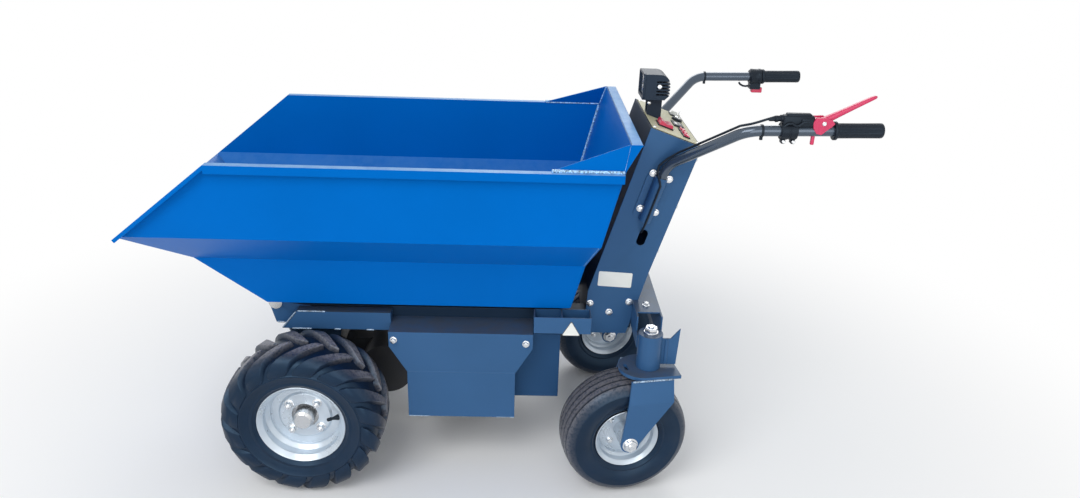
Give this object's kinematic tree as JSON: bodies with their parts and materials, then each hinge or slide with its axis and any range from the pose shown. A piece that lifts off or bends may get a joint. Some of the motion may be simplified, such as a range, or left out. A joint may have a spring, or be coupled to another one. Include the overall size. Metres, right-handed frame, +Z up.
{
  "type": "walk-behind electric skip dumper",
  "caption": "Walk-behind electric dumper: blue tipping skip on a frame with lugged drive wheels, rear swivel casters, a leaning control column and handlebars.",
  "frame": {"origin": "on the ground, at the middle of the machine's outline", "axes": "+X forward over the pouring lip, +Y left, +Z up"},
  "size_m": [1.7353, 0.752, 1.065],
  "materials": {
    "blue_paint": "satin",
    "frame_paint": "satin",
    "slate_paint": "satin",
    "bare_steel": "satin",
    "silver_paint": "satin",
    "tyre": "matte",
    "black_rubber": "matte",
    "black_plastic": "matte",
    "black_casting": "satin",
    "lamp_alloy": "matte",
    "lamp_glass": "gloss",
    "panel_beige": "matte",
    "switch_red": "gloss",
    "lever_red": "gloss"
  },
  "bodies": {
    "chassis": {"pivot_brackets": "frame_paint", "pivot_shaft": "bare_steel", "main_rails": "frame_paint", "cross_members": "frame_paint", "rest_pads": "black_rubber", "front_side_rails": "slate_paint", "rear_trays": "slate_paint", "battery_box": "black_plastic", "controller_box": "slate_paint", "battery_guards": "slate_paint", "guard_brackets": "frame_paint", "ram_bracket": "frame_paint", "drive_axle": "black_casting", "drive_motor": "black_casting", "axle_hangers": "frame_paint", "rear_beam": "slate_paint", "swivel_housings": "slate_paint", "column_sides": "slate_paint", "column_front_panel": "slate_paint", "column_rear_panel": "slate_paint", "console_panel": "panel_beige", "console_controls": "switch_red", "work_lamp": "lamp_alloy", "lamp_lens": "lamp_glass", "lamp_bracket": "slate_paint", "handlebars": "slate_paint", "handle_clamps": "slate_paint", "grips": "black_rubber", "brake_perch": "black_plastic", "brake_lever": "lever_red", "brake_cable": "black_rubber", "throttle_housing": "black_plastic", "throttle_cable": "black_rubber"},
    "skip": {"skip_floor": "blue_paint", "skip_side_left": "blue_paint", "skip_side_right": "blue_paint", "skip_rear_wall": "blue_paint", "skip_gussets": "blue_paint", "skip_runners": "frame_paint", "skip_pivot_eyes": "blue_paint", "skip_ram_lugs": "blue_paint"},
    "ram": {"ram_body": "black_casting"},
    "ram_rod": {"ram_rod": "bare_steel"},
    "wheel_left": {"tyre_left": "tyre", "rim_left": "silver_paint", "hub_left": "bare_steel"},
    "wheel_right": {"tyre_right": "tyre", "rim_right": "silver_paint", "hub_right": "bare_steel"},
    "caster_left": {"caster_fork_left": "slate_paint"},
    "caster_wheel_left": {"caster_tyre_left": "tyre", "caster_rim_left": "silver_paint"},
    "caster_right": {"caster_fork_right": "slate_paint"},
    "caster_wheel_right": {"caster_tyre_right": "tyre", "caster_rim_right": "silver_paint"}
  },
  "joints": [
    {"name": "skip_tip", "type": "hinge", "parent": "chassis", "child": "skip", "pos_m": [0.575, 0, 0.448], "axis": [0, 1, 0], "range_deg": [0, 75]},
    {"name": "ram_swing", "type": "hinge", "parent": "chassis", "child": "ram", "pos_m": [-0.125, 0, 0.3], "axis": [0, -1, 0], "range_deg": [0, 15.8]},
    {"name": "ram_stroke", "type": "slide", "parent": "ram", "child": "ram_rod", "axis": [0.9607, 0, 0.2775], "range_m": [0, 0.25954]},
    {"name": "wheel_left_spin", "type": "hinge", "parent": "chassis", "child": "wheel_left", "pos_m": [0.479, 0.292, 0.205], "axis": [0, 1, 0], "continuous": true},
    {"name": "caster_left_swivel", "type": "hinge", "parent": "chassis", "child": "caster_left", "pos_m": [-0.396, 0.282, 0.4], "axis": [0, 0, 1], "continuous": true},
    {"name": "caster_left_roll", "type": "hinge", "parent": "caster_left", "child": "caster_wheel_left", "pos_m": [-0.34184, 0.29155, 0.165], "axis": [-0.1736, 0.9848, 0], "continuous": true},
    {"name": "wheel_right_spin", "type": "hinge", "parent": "chassis", "child": "wheel_right", "pos_m": [0.479, -0.292, 0.205], "axis": [0, 1, 0], "continuous": true},
    {"name": "caster_right_swivel", "type": "hinge", "parent": "chassis", "child": "caster_right", "pos_m": [-0.396, -0.282, 0.4], "axis": [0, 0, 1], "continuous": true},
    {"name": "caster_right_roll", "type": "hinge", "parent": "caster_right", "child": "caster_wheel_right", "pos_m": [-0.34184, -0.27245, 0.165], "axis": [-0.1736, 0.9848, 0], "continuous": true}
  ],
  "couplings": [
    {"joint": "ram_swing", "follows": "skip_tip", "ratio": 0.21067},
    {"joint": "ram_stroke", "follows": "skip_tip", "m_per_rad": 0.19827}
  ]
}
